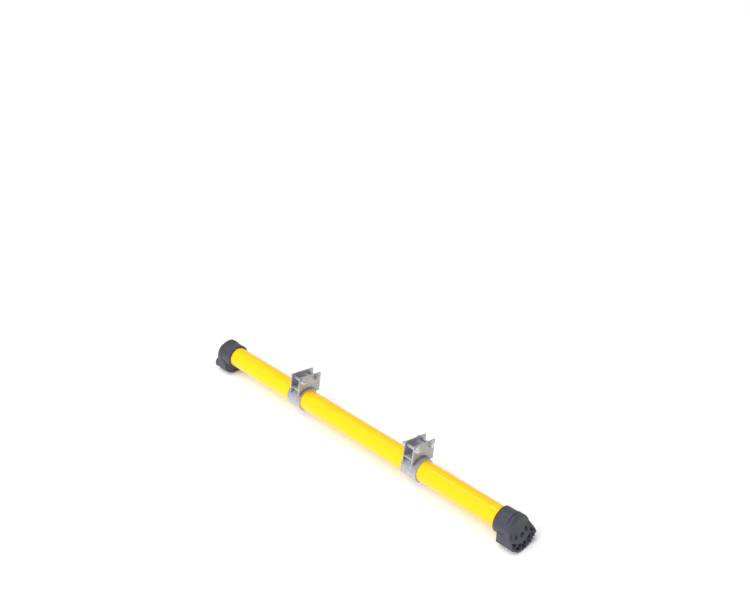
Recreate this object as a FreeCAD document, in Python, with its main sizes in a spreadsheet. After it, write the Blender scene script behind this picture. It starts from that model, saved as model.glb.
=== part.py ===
"""Ladder stabiliser bar: a round tube carried under a ladder's two stile ends.

Frame: origin at the middle of the tube's axis, +X along the tube, +Y to the side
the ladder leans towards, +Z up.  Each welded bracket holds one stile and is turned
about the tube's axis by the ladder's lean.  Inside a bracket, "depth" runs square
to the stile (rearwards) and "rise" along it.  Lengths are millimetres.
"""
import FreeCAD, Part
import os
import Sketcher
from FreeCAD import Placement, Rotation, Vector

SIZES = {
    # the bar
    "overall_length": 1100.0,
    "tube_length": 1024.0,
    "tube_outer_dia": 55.0,
    "tube_wall": 4.0,
    # where the ladder's stiles stand
    "ladder_width": 442.0,
    "stile_thickness": 26.5,
    "stile_side_clearance": 0.25,
    "lean_angle": 15.0,
    # welded bracket
    "plate_thickness": 3.0,
    "sleeve_wall": 3.5,
    "sleeve_clearance": 0.15,
    "sleeve_outer_overhang": 12.5,
    "sleeve_inner_overhang": 4.5,
    "sleeve_edge": 0.6,
    "cheek_front": 33.0,
    "cheek_rear": 41.0,
    "cheek_height": 35.0,
    "cheek_skirt": 15.0,
    "cheek_corner": 3.0,
    "notch_clearance": 0.2,
    "weld_leg": 3.2,
    "weld_half_angle": 57.0,
    "seat_weld_start": 8.0,
    "seat_weld_width": 5.0,
    # bolts through the stile
    "bolt_dia": 8.0,
    "bolt_hole_clearance": 0.25,
    "bolt_front": 23.0,
    "bolt_rear": 27.0,
    "bolt_edge_distance": 11.0,
    "bolt_head_across": 13.0,
    "bolt_head_height": 6.5,
    "bolt_flange_dia": 18.0,
    "bolt_flange_height": 1.6,
    "bolt_tail": 3.0,
    "washer_dia": 16.0,
    "washer_thickness": 1.6,
    "nut_across": 13.0,
    "nut_hex_height": 6.2,
    "nut_collar_dia": 11.8,
    "nut_collar_height": 1.9,
    "nut_insert_wall": 1.2,
    "nut_insert_height": 1.5,
    # screw that keeps the tube in its sleeve
    "screw_dia": 6.0,
    "screw_hole_clearance": 0.2,
    "screw_head_across": 10.0,
    "screw_head_height": 4.2,
    "screw_flange_dia": 13.5,
    "screw_flange_height": 1.2,
    "screw_tip_reach": 8.0,
    "screw_tip_dia": 1.5,
    # rubber boot, lengths measured from the rim that faces the ladder
    "boot_length": 68.0,
    "boot_clearance": 0.1,
    "collar_wall": 5.5,
    "collar_length": 12.0,
    "boot_turn": 5.0,
    "crown_rise": 1.6,
    "boot_top_length": 44.0,
    "boot_corner_length": 64.0,
    "sole_half_width": 40.5,
    "sole_corner_drop": 32.7,
    "sole_drop": 52.0,
    "tread_depth": 6.0,
    "groove_mouth": 5.0,
    "groove_root": 2.4,
    "groove_count": 10.0,
    "groove_step": 9.0,
    "lip_height": 10.0,
    "rim_edge": 1.5,
    # how far cutting shapes reach past what they cut
    "cutter_margin": 5.0,
    "cutter_overlap": 1.0,
}
SIDES = {"left": -1, "right": 1}
NEAR = 0.01

# Expressions that more than one piece uses.
TUBE_RADIUS = "Sizes.tube_outer_dia / 2"
SLEEVE_BORE = f"({TUBE_RADIUS} + Sizes.sleeve_clearance)"
SLEEVE_RADIUS = f"({SLEEVE_BORE} + Sizes.sleeve_wall)"
SEAT_TOP = f"({SLEEVE_RADIUS} + Sizes.plate_thickness)"
CHEEK_TOP = f"({SEAT_TOP} + Sizes.cheek_height)"
CHEEK_BOTTOM = f"({SLEEVE_RADIUS} - Sizes.cheek_skirt)"
BOLT_RISE = f"({CHEEK_TOP} - Sizes.bolt_edge_distance)"
HOLE_RADIUS = "(Sizes.bolt_dia / 2 + Sizes.bolt_hole_clearance)"
OUTER_FACE = "(Sizes.ladder_width / 2 + Sizes.stile_side_clearance)"
INNER_FACE = "(Sizes.ladder_width / 2 - Sizes.stile_thickness - Sizes.stile_side_clearance)"
OUTER_PLANE = f"({OUTER_FACE} + Sizes.plate_thickness)"
INNER_PLANE = f"({INNER_FACE} - Sizes.plate_thickness)"
SLEEVE_OUTER_END = f"({OUTER_PLANE} + Sizes.sleeve_outer_overhang)"
SLEEVE_INNER_END = f"({INNER_PLANE} - Sizes.sleeve_inner_overhang)"
SLEEVE_MIDDLE = f"(({SLEEVE_OUTER_END} + {SLEEVE_INNER_END}) / 2)"
SOCKET_GAP = f"({OUTER_FACE} - {INNER_FACE})"
SOCKET_MIDDLE = f"(({OUTER_FACE} + {INNER_FACE}) / 2)"
NUT_HEIGHT = "(Sizes.nut_hex_height + Sizes.nut_collar_height)"
BOLT_REACH = (f"({OUTER_PLANE} - {INNER_PLANE} + Sizes.washer_thickness"
              f" + {NUT_HEIGHT} + Sizes.bolt_tail)")
COLLAR_RADIUS = f"({TUBE_RADIUS} + Sizes.boot_clearance + Sizes.collar_wall)"
CROWN_RADIUS = f"({COLLAR_RADIUS} + Sizes.crown_rise)"
RIM_PLACE = "(Sizes.overall_length / 2 - Sizes.boot_length)"
END_SLOPE = ("((Sizes.boot_corner_length - Sizes.boot_top_length)"
             f" / ({CROWN_RADIUS} + Sizes.sole_corner_drop))")
SOLE_BULGE = "(Sizes.sole_drop - Sizes.sole_corner_drop)"
SOLE_RADIUS = f"((Sizes.sole_half_width ^ 2 + {SOLE_BULGE} ^ 2) / 2 / {SOLE_BULGE})"
SOLE_CENTRE = f"({SOLE_RADIUS} - Sizes.sole_drop)"
GROOVE_ANGLE = f"(Sizes.groove_step / {SOLE_RADIUS} * 180 / pi)"

doc = FreeCAD.newDocument("LadderStabiliser")
sheet = doc.addObject("Spreadsheet::Sheet", "Sizes")
for row, (alias, value) in enumerate(SIZES.items(), start=1):
    sheet.set(f"A{row}", alias)
    sheet.set(f"B{row}", str(value))
    sheet.setAlias(f"B{row}", alias)
doc.recompute()
parts = []


# ---------------------------------------------------------------- modelling helpers
def value(expression):
    """The number that an expression gives with the sheet as it stands."""
    result = sheet.evalExpression(expression.replace("Sizes.", ""))
    return float(getattr(result, "Value", result))


def bind(thing, **expressions):
    """Bind properties to expressions; a double underscore stands for a dot."""
    for name, expression in expressions.items():
        thing.setExpression(name.replace("__", "."), expression)


def stand(part, x="0", depth="0", rise="0", turn="Sizes.lean_angle"):
    """Place a part along X, and square to and along the stile; turn it about X."""
    lean = "(Sizes.lean_angle * 1 deg)"
    bind(part, Placement__Base__x=x)
    bind(part, Placement__Base__y=f"({depth}) * cos({lean}) + ({rise}) * sin({lean})")
    bind(part, Placement__Base__z=f"({rise}) * cos({lean}) - ({depth}) * sin({lean})")
    if turn:
        part.Placement = Placement(Vector(), Rotation(Vector(-1, 0, 0), value(turn)))
        bind(part, Placement__Rotation__Angle=f"{turn} * 1 deg")


def new_body(name, **place):
    """An empty body that becomes one sub-part."""
    body = doc.addObject("PartDesign::Body", name)
    body.Label = name
    stand(body, **place)
    parts.append(body)
    return body


def new_sketch(body, role, name, offset="0"):
    """A sketch on one of the body's own origin planes, moved along its normal."""
    sketch = body.newObject("Sketcher::SketchObject", f"{body.Name}_{name}")
    plane = next(item for item in body.Origin.OriginFeatures if item.Role == role)
    sketch.AttachmentSupport = [(plane, "")]
    sketch.MapMode = "FlatFace"
    bind(sketch, AttachmentOffset__Base__z=offset)
    return sketch


def constrain(sketch, kind, *where, to):
    """Add a dimension to a sketch and bind it to an expression."""
    index = sketch.addConstraint(Sketcher.Constraint(kind, *where, value(to)))
    sketch.setExpression(f"Constraints[{index}]", to)


def pin_point(sketch, edge, end, across, up):
    """Fix one end of an edge at a place measured from the sketch's origin."""
    constrain(sketch, "DistanceX", -1, 1, edge, end, to=across)
    constrain(sketch, "DistanceY", -1, 1, edge, end, to=up)


def draw_polygon(sketch, corners):
    """A closed polygon whose corners are pairs of expressions."""
    points = [Vector(value(across), value(up), 0) for across, up in corners]
    edges = []
    for index, point in enumerate(points):
        following = points[(index + 1) % len(points)]
        edges.append(sketch.addGeometry(Part.LineSegment(point, following), False))
    for index, edge in enumerate(edges):
        neighbour = edges[(index + 1) % len(edges)]
        sketch.addConstraint(Sketcher.Constraint("Coincident", edge, 2, neighbour, 1))
        pin_point(sketch, edge, 1, *corners[index])


def draw_rectangle(sketch, left, bottom, right, top):
    """A rectangle between two corners."""
    draw_polygon(sketch, [(left, bottom), (right, bottom), (right, top), (left, top)])


def draw_hexagon(sketch, across):
    """A hexagon about the sketch's origin, given across its flats."""
    half, corner = f"({across} / 2)", f"({across} / sqrt(3))"
    draw_polygon(sketch, [
        (half, f"{corner} / 2"), ("0", corner), (f"-{half}", f"{corner} / 2"),
        (f"-{half}", f"-{corner} / 2"), ("0", f"-{corner}"), (half, f"-{corner} / 2"),
    ])


def draw_circle(sketch, radius, across="0", up="0"):
    """A circle of a given radius about a given centre."""
    centre = Vector(value(across), value(up), 0)
    circle = sketch.addGeometry(Part.Circle(centre, Vector(0, 0, 1), value(radius)), False)
    constrain(sketch, "Radius", circle, to=radius)
    pin_point(sketch, circle, 3, across, up)


def pad(body, sketch, length, both_ways=False, backwards=False):
    """Extrude a sketch into material."""
    feature = body.newObject("PartDesign::Pad", f"{sketch.Name}_pad")
    feature.Profile = sketch
    feature.Midplane = both_ways
    feature.Reversed = backwards
    bind(feature, Length=length)
    doc.recompute()
    return feature


def check_cut(body, before):
    """Stop when a cutting feature took no material away."""
    doc.recompute()
    if body.Shape.Volume >= before - 1e-3:
        raise RuntimeError(f"a cut in {body.Label} removed nothing")


def pocket(body, sketch, depth=None, backwards=False):
    """Cut a sketch through the whole body, or to a depth from its plane."""
    before = body.Shape.Volume
    feature = body.newObject("PartDesign::Pocket", f"{sketch.Name}_cut")
    feature.Profile = sketch
    if depth is None:
        feature.Type = "ThroughAll"
        feature.Midplane = True
    else:
        feature.Reversed = backwards
        bind(feature, Length=depth)
    check_cut(body, before)
    return feature


def revolve(body, sketch, axis, angle="360", both_ways=False):
    """Turn a sketch about one of its own axes into material."""
    feature = body.newObject("PartDesign::Revolution", f"{sketch.Name}_turn")
    feature.Profile = sketch
    feature.ReferenceAxis = (sketch, [axis])
    feature.Midplane = both_ways
    bind(feature, Angle=angle)
    doc.recompute()
    return feature


def groove(body, sketch, axis):
    """Turn a sketch once round one of its own axes and take it away."""
    before = body.Shape.Volume
    feature = body.newObject("PartDesign::Groove", f"{sketch.Name}_turn")
    feature.Profile = sketch
    feature.ReferenceAxis = (sketch, [axis])
    feature.Angle = 360
    check_cut(body, before)


def chamfer_hexagon(body, across, height, direction):
    """Take the corners off a hexagon's far end, as a turned 30 degree chamfer."""
    sketch = new_sketch(body, "XZ_Plane", "corner")
    flat, corner = f"({across} / 2)", f"({across} / sqrt(3) + Sizes.cutter_overlap)"
    end = f"({direction} * {height})"
    drop = f"({direction} * ({height} - ({corner} - {flat}) * tan(30 deg)))"
    draw_polygon(sketch, [(end, flat), (end, corner), (drop, corner)])
    groove(body, sketch, "H_Axis")


def is_circle(edge, radius):
    """Whether an edge is a whole or part circle of the radius that an expression gives."""
    return isinstance(edge.Curve, Part.Circle) and abs(edge.Curve.Radius - value(radius)) < NEAR


def round_edges(body, radius, wanted):
    """Fillet the edges that a test picks out."""
    doc.recompute()
    base = body.Tip
    names = [f"Edge{index}" for index, edge in enumerate(base.Shape.Edges, start=1) if wanted(edge)]
    if not names:
        raise RuntimeError(f"no edge to round on {body.Label}")
    feature = body.newObject("PartDesign::Fillet", f"{body.Name}_round{len(body.Group)}")
    feature.Base = (base, names)
    bind(feature, Radius=radius)
    doc.recompute()


# ---------------------------------------------------------------- the bar
def make_tube():
    """The bar: a plain tube with a hole for each sleeve's screw."""
    body = new_body("bar_tube")
    ring = new_sketch(body, "YZ_Plane", "ring")
    draw_circle(ring, TUBE_RADIUS)
    draw_circle(ring, f"({TUBE_RADIUS} - Sizes.tube_wall)")
    pad(body, ring, "Sizes.tube_length", both_ways=True)
    holes = new_sketch(body, "XZ_Plane", "screw_holes")
    for sign in SIDES.values():
        draw_circle(holes, "Sizes.screw_dia / 2", across=f"{sign} * {SLEEVE_MIDDLE}")
    pocket(body, holes, depth=TUBE_RADIUS, backwards=False)


def make_boot(name, sign):
    """Rubber boot: a round collar, a flared block with a slanted end, a curved tread."""
    body = new_body(name, x=f"{sign} * {RIM_PLACE}", turn="-Sizes.boot_turn")
    collar = new_sketch(body, "YZ_Plane", "collar")
    draw_circle(collar, COLLAR_RADIUS)
    pad(body, collar, "Sizes.boot_top_length", backwards=sign < 0)

    block = new_sketch(body, "YZ_Plane", "block", offset=f"{sign} * Sizes.collar_length")
    draw_boot_profile(block)
    pad(body, block, "Sizes.boot_length - Sizes.collar_length", backwards=sign < 0)

    slant = new_sketch(body, "XZ_Plane", "slant")
    above, below = f"({CROWN_RADIUS} + Sizes.cutter_margin)", "(-Sizes.sole_drop - Sizes.cutter_margin)"
    head = f"(Sizes.boot_top_length - {END_SLOPE} * Sizes.cutter_margin)"
    foot = f"({head} + {END_SLOPE} * ({above} - {below}))"
    beyond = f"{sign} * ({foot} + Sizes.cutter_margin)"
    draw_polygon(slant, [
        (f"{sign} * {head}", above), (f"{sign} * {foot}", below), (beyond, below), (beyond, above),
    ])
    pocket(body, slant)

    tread = new_sketch(body, "YZ_Plane", "tread", offset=f"{sign} * Sizes.collar_length")
    draw_tread_band(tread)
    pad(body, tread, "Sizes.boot_length - Sizes.collar_length", backwards=sign < 0)

    bore = new_sketch(body, "YZ_Plane", "bore")
    draw_circle(bore, f"({TUBE_RADIUS} + Sizes.boot_clearance)")
    depth = f"(Sizes.tube_length / 2 - {RIM_PLACE} + Sizes.boot_clearance)"
    pocket(body, bore, depth=depth, backwards=sign > 0)

    cut_tread(body)
    round_edges(body, "Sizes.rim_edge",
                lambda edge: is_circle(edge, COLLAR_RADIUS) and abs(edge.CenterOfMass.x) < NEAR)


def draw_boot_profile(sketch):
    """Round over the tube, flared flanks, and the sole's arc below."""
    radius, half, drop = CROWN_RADIUS, "Sizes.sole_half_width", "Sizes.sole_corner_drop"
    top = Part.ArcOfCircle(Part.Circle(Vector(), Vector(0, 0, 1), value(radius)), 0, 3.141592653589793)
    left_top, left_foot = Vector(-value(radius), 0, 0), Vector(-value(half), -value(drop), 0)
    right_top, right_foot = Vector(value(radius), 0, 0), Vector(value(half), -value(drop), 0)
    lowest = Vector(0, -value("Sizes.sole_drop"), 0)
    crown = sketch.addGeometry(top, False)
    left = sketch.addGeometry(Part.LineSegment(left_top, left_foot), False)
    sole = sketch.addGeometry(Part.Arc(left_foot, lowest, right_foot), False)
    right = sketch.addGeometry(Part.LineSegment(right_foot, right_top), False)
    sketch.addConstraint(Sketcher.Constraint("Coincident", crown, 2, left, 1))
    sketch.addConstraint(Sketcher.Constraint("Coincident", left, 2, sole, 1))
    sketch.addConstraint(Sketcher.Constraint("Coincident", sole, 2, right, 1))
    sketch.addConstraint(Sketcher.Constraint("Coincident", right, 2, crown, 1))
    sketch.addConstraint(Sketcher.Constraint("Coincident", crown, 3, -1, 1))
    pin_point(sketch, crown, 1, radius, "0")
    constrain(sketch, "DistanceY", -1, 1, crown, 2, to="0")
    pin_point(sketch, left, 2, f"-{half}", f"-{drop}")
    pin_point(sketch, sole, 2, half, f"-{drop}")
    constrain(sketch, "Radius", sole, to=SOLE_RADIUS)


def draw_tread_band(sketch):
    """The band of rubber that follows the sole's arc and stands out at the end."""
    half, drop, rise = "Sizes.sole_half_width", "Sizes.sole_corner_drop", "Sizes.lip_height"
    flare = f"(({half} - {CROWN_RADIUS}) / {drop})"
    upper_half = f"({half} - {flare} * {rise})"
    lowest = value("Sizes.sole_drop")
    left_foot, right_foot = Vector(-value(half), -value(drop), 0), Vector(value(half), -value(drop), 0)
    left_top = Vector(-value(upper_half), value(rise) - value(drop), 0)
    right_top = Vector(value(upper_half), value(rise) - value(drop), 0)
    sole = sketch.addGeometry(Part.Arc(left_foot, Vector(0, -lowest, 0), right_foot), False)
    right = sketch.addGeometry(Part.LineSegment(right_foot, right_top), False)
    inner = sketch.addGeometry(Part.Arc(left_top, Vector(0, value(rise) - lowest, 0), right_top), False)
    left = sketch.addGeometry(Part.LineSegment(left_top, left_foot), False)
    sketch.addConstraint(Sketcher.Constraint("Coincident", sole, 2, right, 1))
    sketch.addConstraint(Sketcher.Constraint("Coincident", right, 2, inner, 2))
    sketch.addConstraint(Sketcher.Constraint("Coincident", inner, 1, left, 1))
    sketch.addConstraint(Sketcher.Constraint("Coincident", left, 2, sole, 1))
    pin_point(sketch, left, 2, f"-{half}", f"-{drop}")
    pin_point(sketch, right, 1, half, f"-{drop}")
    pin_point(sketch, left, 1, f"-{upper_half}", f"({rise} - {drop})")
    pin_point(sketch, right, 2, upper_half, f"({rise} - {drop})")
    constrain(sketch, "Radius", sole, to=SOLE_RADIUS)
    constrain(sketch, "Radius", inner, to=SOLE_RADIUS)


def cut_tread(body):
    """Grooves along the tube, spaced evenly round the sole's arc."""
    sketch = new_sketch(body, "YZ_Plane", "groove")
    sketch.AttachmentOffset = Placement(Vector(), Rotation(Vector(0, 0, 1), -1.0))
    bind(sketch, AttachmentOffset__Base__z="0", AttachmentOffset__Base__y=SOLE_CENTRE)
    first = f"({GROOVE_ANGLE} * (Sizes.groove_count - 1) / 2)"
    bind(sketch, AttachmentOffset__Rotation__Angle=f"{first} * 1 deg")
    mouth, root = "(Sizes.groove_mouth / 2)", "(Sizes.groove_root / 2)"
    bottom, top = f"-({SOLE_RADIUS} + Sizes.cutter_overlap)", f"-({SOLE_RADIUS} - Sizes.tread_depth)"
    draw_polygon(sketch, [(f"-{mouth}", bottom), (mouth, bottom), (root, top), (f"-{root}", top)])
    cut = pocket(body, sketch)
    before = body.Shape.Volume
    pattern = body.newObject("PartDesign::PolarPattern", f"{body.Name}_grooves")
    pattern.Originals = [cut]
    pattern.Axis = (sketch, ["N_Axis"])
    pattern.Occurrences = int(value("Sizes.groove_count"))
    pattern.Reversed = True
    bind(pattern, Angle=f"{first} * 2", Occurrences="Sizes.groove_count")
    body.Tip = pattern
    check_cut(body, before)


# ---------------------------------------------------------------- welded bracket
def make_sleeve(side, sign):
    """Short steel tube round the bar; the plates are welded to its outside."""
    body = new_body(f"{side}_sleeve", x=f"{sign} * {SLEEVE_MIDDLE}")
    ring = new_sketch(body, "YZ_Plane", "ring")
    draw_circle(ring, SLEEVE_RADIUS)
    draw_circle(ring, SLEEVE_BORE)
    pad(body, ring, f"{SLEEVE_OUTER_END} - {SLEEVE_INNER_END}", both_ways=True)
    hole = new_sketch(body, "XZ_Plane", "screw_hole")
    draw_circle(hole, "(Sizes.screw_dia / 2 + Sizes.screw_hole_clearance)")
    pocket(body, hole, depth=f"{SLEEVE_RADIUS} + Sizes.cutter_overlap", backwards=False)
    round_edges(body, "Sizes.sleeve_edge", lambda edge: is_circle(edge, SLEEVE_RADIUS))


def make_cheek(name, sign, plane):
    """Side plate of a bracket: notched over the sleeve, drilled for the two bolts."""
    body = new_body(name, x=f"{sign} * {plane}")
    outline = new_sketch(body, "YZ_Plane", "outline")
    draw_rectangle(outline, "-Sizes.cheek_front", CHEEK_BOTTOM, "Sizes.cheek_rear", CHEEK_TOP)
    pad(body, outline, "Sizes.plate_thickness", both_ways=True)
    top = value(CHEEK_TOP)
    round_edges(body, "Sizes.cheek_corner", lambda edge: abs(edge.CenterOfMass.z - top) < NEAR
                and edge.Length < value("Sizes.plate_thickness") + NEAR)
    notch = new_sketch(body, "YZ_Plane", "notch")
    draw_circle(notch, f"({SLEEVE_RADIUS} + Sizes.notch_clearance)")
    pocket(body, notch)
    holes = new_sketch(body, "YZ_Plane", "bolt_holes")
    draw_circle(holes, HOLE_RADIUS, "-Sizes.bolt_front", BOLT_RISE)
    draw_circle(holes, HOLE_RADIUS, "Sizes.bolt_rear", BOLT_RISE)
    pocket(body, holes)


def make_seat(side, sign):
    """Plate between the cheeks that the stile's cut end stands on."""
    body = new_body(f"{side}_seat_plate", x=f"{sign} * {SOCKET_MIDDLE}")
    outline = new_sketch(body, "YZ_Plane", "outline")
    draw_rectangle(outline, "-Sizes.cheek_front", SLEEVE_RADIUS, "Sizes.cheek_rear", SEAT_TOP)
    pad(body, outline, SOCKET_GAP, both_ways=True)


def make_arch_weld(name, place, direction):
    """Fillet weld along a cheek's notch; it grows away from the plate's face."""
    body = new_body(name, x=place)
    bead = new_sketch(body, "XZ_Plane", "bead")
    tip = f"{direction} * Sizes.weld_leg"
    peak = f"({SLEEVE_RADIUS} + Sizes.weld_leg)"
    draw_polygon(bead, [("0", SLEEVE_RADIUS), (tip, SLEEVE_RADIUS), ("0", peak)])
    revolve(body, bead, "H_Axis", "Sizes.weld_half_angle * 2", both_ways=True)


def make_seat_welds(side, sign):
    """Two beads under the seat plate, in the wedge above the sleeve."""
    name = f"{side}_seat_welds"
    starts = {"front": "-(Sizes.seat_weld_start + Sizes.seat_weld_width)", "rear": "Sizes.seat_weld_start"}
    bars = []
    for end, start in starts.items():
        bar = doc.addObject("Part::Box", f"{name}_{end}")
        bind(bar, Length=SOCKET_GAP, Width="Sizes.seat_weld_width", Height="Sizes.seat_weld_width")
        bind(bar, Placement__Base__x=f"-{SOCKET_GAP} / 2", Placement__Base__y=start)
        bind(bar, Placement__Base__z=f"{SLEEVE_RADIUS} - Sizes.seat_weld_width")
        bars.append(bar)
    pair = doc.addObject("Part::Compound", f"{name}_pair")
    pair.Links = bars
    round_bar = doc.addObject("Part::Cylinder", f"{name}_round")
    round_bar.Placement = Placement(Vector(), Rotation(Vector(0, 1, 0), 90))
    bind(round_bar, Radius=SLEEVE_RADIUS, Height=f"{SOCKET_GAP} * 2", Placement__Base__x=f"-{SOCKET_GAP}")
    welds = doc.addObject("Part::Cut", name)
    welds.Base = pair
    welds.Tool = round_bar
    welds.Label = name
    stand(welds, x=f"{sign} * {SOCKET_MIDDLE}")
    parts.append(welds)


# ---------------------------------------------------------------- fasteners
def make_bolt(name, sign, depth):
    """Flanged hexagon bolt: head outside the bracket, tail towards the ladder's middle."""
    body = new_body(name, x=f"{sign} * {OUTER_PLANE}", depth=depth, rise=BOLT_RISE, turn=None)
    shank = new_sketch(body, "YZ_Plane", "shank")
    draw_circle(shank, "Sizes.bolt_dia / 2")
    pad(body, shank, BOLT_REACH, backwards=sign > 0)
    flange = new_sketch(body, "YZ_Plane", "flange")
    draw_circle(flange, "Sizes.bolt_flange_dia / 2")
    pad(body, flange, "Sizes.bolt_flange_height", backwards=sign < 0)
    head = new_sketch(body, "YZ_Plane", "head")
    draw_hexagon(head, "Sizes.bolt_head_across")
    pad(body, head, "Sizes.bolt_head_height", backwards=sign < 0)
    chamfer_hexagon(body, "Sizes.bolt_head_across", "Sizes.bolt_head_height", sign)


def make_ring(name, place, depth, inner, outer, thickness, backwards):
    """A flat ring on a bolt's axis."""
    body = new_body(name, x=place, depth=depth, rise=BOLT_RISE, turn=None)
    ring = new_sketch(body, "YZ_Plane", "ring")
    draw_circle(ring, outer)
    draw_circle(ring, inner)
    pad(body, ring, thickness, backwards=backwards)


def make_nut(name, sign, depth):
    """Locking nut: a hexagon with a round collar that holds a plastic ring."""
    start = f"({INNER_PLANE} - Sizes.washer_thickness)"
    body = new_body(name, x=f"{sign} * {start}", depth=depth, rise=BOLT_RISE, turn=None)
    hexagon = new_sketch(body, "YZ_Plane", "hexagon")
    draw_hexagon(hexagon, "Sizes.nut_across")
    pad(body, hexagon, "Sizes.nut_hex_height", backwards=sign > 0)
    chamfer_hexagon(body, "Sizes.nut_across", "Sizes.nut_hex_height", -sign)
    collar = new_sketch(body, "YZ_Plane", "collar")
    draw_circle(collar, "Sizes.nut_collar_dia / 2")
    pad(body, collar, NUT_HEIGHT, backwards=sign > 0)
    bore = new_sketch(body, "YZ_Plane", "bore")
    draw_circle(bore, "Sizes.bolt_dia / 2")
    pocket(body, bore)
    recess = new_sketch(body, "YZ_Plane", "recess", offset=f"-{sign} * {NUT_HEIGHT}")
    draw_circle(recess, "(Sizes.bolt_dia / 2 + Sizes.nut_insert_wall)")
    pocket(body, recess, depth="Sizes.nut_insert_height", backwards=sign > 0)


def make_screw(side, sign):
    """Flanged hexagon screw in the back of the sleeve; it bites in the bar's wall."""
    body = new_body(f"{side}_sleeve_screw", x=f"{sign} * {SLEEVE_MIDDLE}")
    stem = new_sketch(body, "XY_Plane", "stem")
    shank, flange = "(Sizes.screw_dia / 2)", "(Sizes.screw_flange_dia / 2)"
    tip = f"({SLEEVE_RADIUS} - Sizes.screw_tip_reach - Sizes.sleeve_wall)"
    shoulder = f"({tip} + Sizes.screw_dia / 2)"
    crown = f"({SLEEVE_RADIUS} + Sizes.screw_flange_height)"
    draw_polygon(stem, [
        ("0", tip), ("Sizes.screw_tip_dia / 2", tip), (shank, shoulder), (shank, SLEEVE_RADIUS),
        (flange, SLEEVE_RADIUS), (flange, crown), ("0", crown),
    ])
    revolve(body, stem, "V_Axis")
    head = new_sketch(body, "XZ_Plane", "head", offset=f"-{SLEEVE_RADIUS}")
    draw_hexagon(head, "Sizes.screw_head_across")
    pad(body, head, "Sizes.screw_head_height", backwards=True)


def make_bracket(side, sign):
    """One welded bracket with its fasteners."""
    half_plate = "Sizes.plate_thickness / 2"
    make_sleeve(side, sign)
    make_cheek(f"{side}_outer_cheek", sign, f"({OUTER_FACE} + {half_plate})")
    make_cheek(f"{side}_inner_cheek", sign, f"({INNER_FACE} - {half_plate})")
    make_seat(side, sign)
    make_arch_weld(f"{side}_outer_arch_weld", f"{sign} * {OUTER_PLANE}", sign)
    make_arch_weld(f"{side}_inner_arch_weld", f"{sign} * {INNER_PLANE}", -sign)
    make_seat_welds(side, sign)
    make_screw(side, sign)
    shank = "Sizes.bolt_dia / 2"
    insert = f"({INNER_PLANE} - Sizes.washer_thickness - {NUT_HEIGHT} + Sizes.nut_insert_height)"
    for end, depth in {"front": "-Sizes.bolt_front", "rear": "Sizes.bolt_rear"}.items():
        make_bolt(f"{side}_{end}_bolt", sign, depth)
        make_ring(f"{side}_{end}_washer", f"{sign} * {INNER_PLANE}", depth, HOLE_RADIUS,
                  "Sizes.washer_dia / 2", "Sizes.washer_thickness", sign > 0)
        make_nut(f"{side}_{end}_nut", sign, depth)
        make_ring(f"{side}_{end}_nut_insert", f"{sign} * {insert}", depth, shank,
                  f"({shank} + Sizes.nut_insert_wall)", "Sizes.nut_insert_height", sign > 0)


make_tube()
for side, sign in SIDES.items():
    make_boot(f"{side}_boot", sign)
    make_bracket(side, sign)
doc.recompute()

for item in doc.Objects:
    if {"Invalid", "Error"} & set(item.State):
        raise RuntimeError(f"{item.Label} did not compute: {item.State}")
for part in parts:
    if part.Shape.isNull() or not part.Shape.isValid():
        raise RuntimeError(f"{part.Label} has no sound shape")

os.makedirs("parts", exist_ok=True)
for part in parts:
    part.Shape.exportStep(f"parts/{part.Label}.step")
print(f"{len(parts)} sub-parts written")
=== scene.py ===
"""Looks of the ladder stabiliser bar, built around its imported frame.

The bar lies along X with its middle at the origin.  A bracket near each end takes
one stile of a ladder, and a rubber boot closes each end of the bar.  Sizes in the
classes are millimetres; a mesh becomes metres when it is handed over as a piece.
"""
import logging
import math
import random
from collections.abc import Callable, Sequence
from dataclasses import dataclass, field
from enum import Enum

import bmesh
import bpy
from mathutils import Matrix, Vector


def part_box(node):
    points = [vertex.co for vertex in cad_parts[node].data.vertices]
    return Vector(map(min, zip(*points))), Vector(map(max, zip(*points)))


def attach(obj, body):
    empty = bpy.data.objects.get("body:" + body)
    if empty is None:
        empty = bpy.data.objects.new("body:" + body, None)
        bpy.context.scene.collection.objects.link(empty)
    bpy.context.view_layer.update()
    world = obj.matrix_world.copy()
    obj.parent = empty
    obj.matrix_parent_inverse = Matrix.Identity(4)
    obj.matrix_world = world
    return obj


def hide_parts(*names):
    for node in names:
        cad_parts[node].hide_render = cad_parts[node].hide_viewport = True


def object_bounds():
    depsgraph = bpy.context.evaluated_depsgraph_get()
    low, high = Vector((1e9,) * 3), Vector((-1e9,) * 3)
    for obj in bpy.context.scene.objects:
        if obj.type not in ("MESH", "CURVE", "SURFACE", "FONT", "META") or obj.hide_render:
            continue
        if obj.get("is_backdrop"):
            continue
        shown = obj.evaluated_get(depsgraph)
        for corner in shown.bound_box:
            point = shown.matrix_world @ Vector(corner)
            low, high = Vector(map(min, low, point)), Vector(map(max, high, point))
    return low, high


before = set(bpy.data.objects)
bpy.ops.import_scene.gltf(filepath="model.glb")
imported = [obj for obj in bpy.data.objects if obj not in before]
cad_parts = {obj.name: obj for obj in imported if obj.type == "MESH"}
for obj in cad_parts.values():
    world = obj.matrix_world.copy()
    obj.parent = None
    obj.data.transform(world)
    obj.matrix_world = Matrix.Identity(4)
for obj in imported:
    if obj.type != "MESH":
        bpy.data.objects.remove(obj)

MM = 0.001
BODY = "root"
LEAN = math.radians(15.0)
# soften(): points closer than this are one, flatter edges are dropped, sharper edges are rounded
WELD_DISTANCE = 0.002
FLAT_ANGLE = math.radians(0.6)
SHARP_ANGLE = math.radians(30.0)
ROUNDING_FACES = 3
log = logging.getLogger("ladder_stabiliser")

Point = tuple[float, float, float]
Ring = Sequence[Point]


class Side(Enum):
    """Which end of the bar a sub-assembly stands at."""

    LEFT = -1
    RIGHT = 1

    @property
    def word(self) -> str:
        """The side's name as the frame's nodes spell it."""
        return self.name.lower()


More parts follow.
